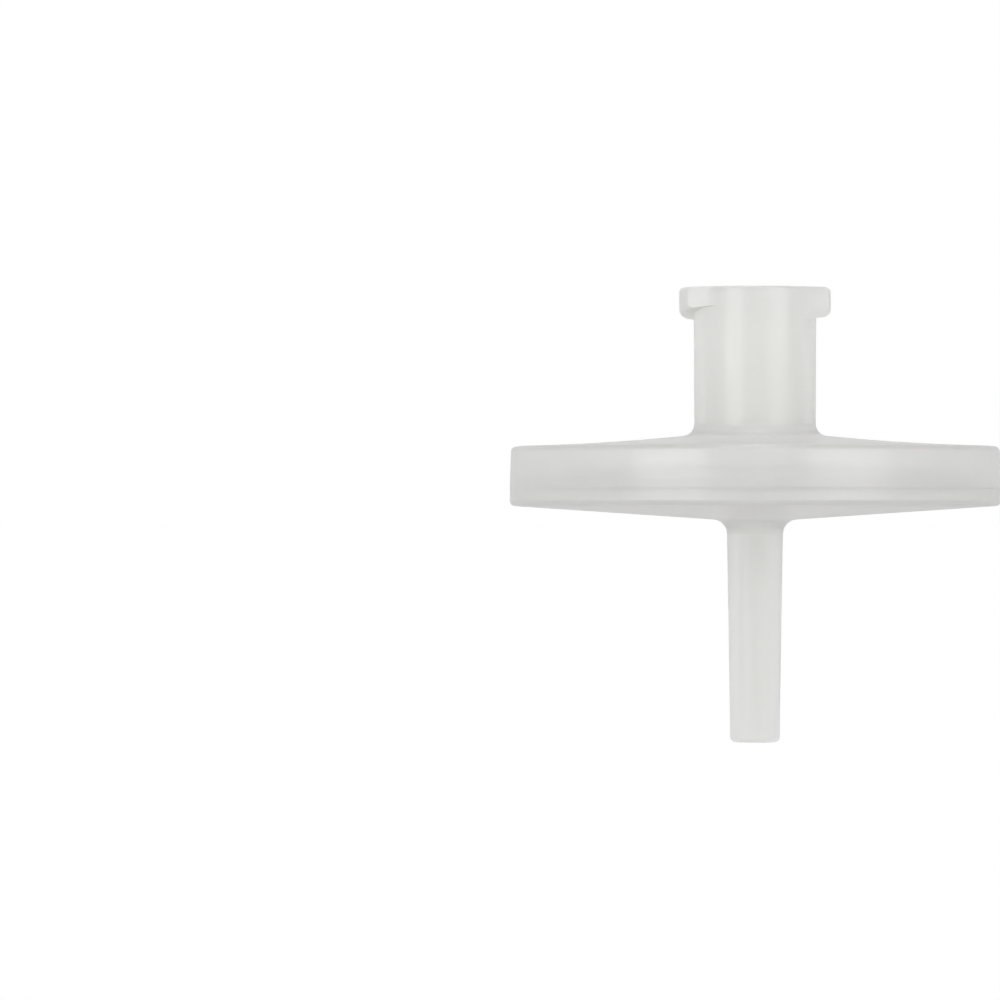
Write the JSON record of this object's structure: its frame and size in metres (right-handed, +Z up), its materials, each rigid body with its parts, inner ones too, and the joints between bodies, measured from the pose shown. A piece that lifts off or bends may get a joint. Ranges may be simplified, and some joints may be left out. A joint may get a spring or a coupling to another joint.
{
  "type": "syringe filter",
  "caption": "Disc-shaped syringe filter in translucent polypropylene, with a female Luer-lock inlet hub and a slim tapered outlet tube.",
  "frame": {"origin": "centre of the inlet mouth, in the plane of the hub's end", "axes": "+Z up the common axis and out of the inlet, so the disc and the outlet tube lie below the origin; +X through the middle of one lock lug"},
  "size_m": [0.025, 0.025, 0.0232],
  "materials": {
    "housing": "satin, translucent natural polypropylene",
    "membrane": "matte white porous sheet"
  },
  "bodies": {
    "root": {"inlet_housing": "housing", "outlet_housing": "housing", "membrane": "membrane"}
  },
  "joints": []
}
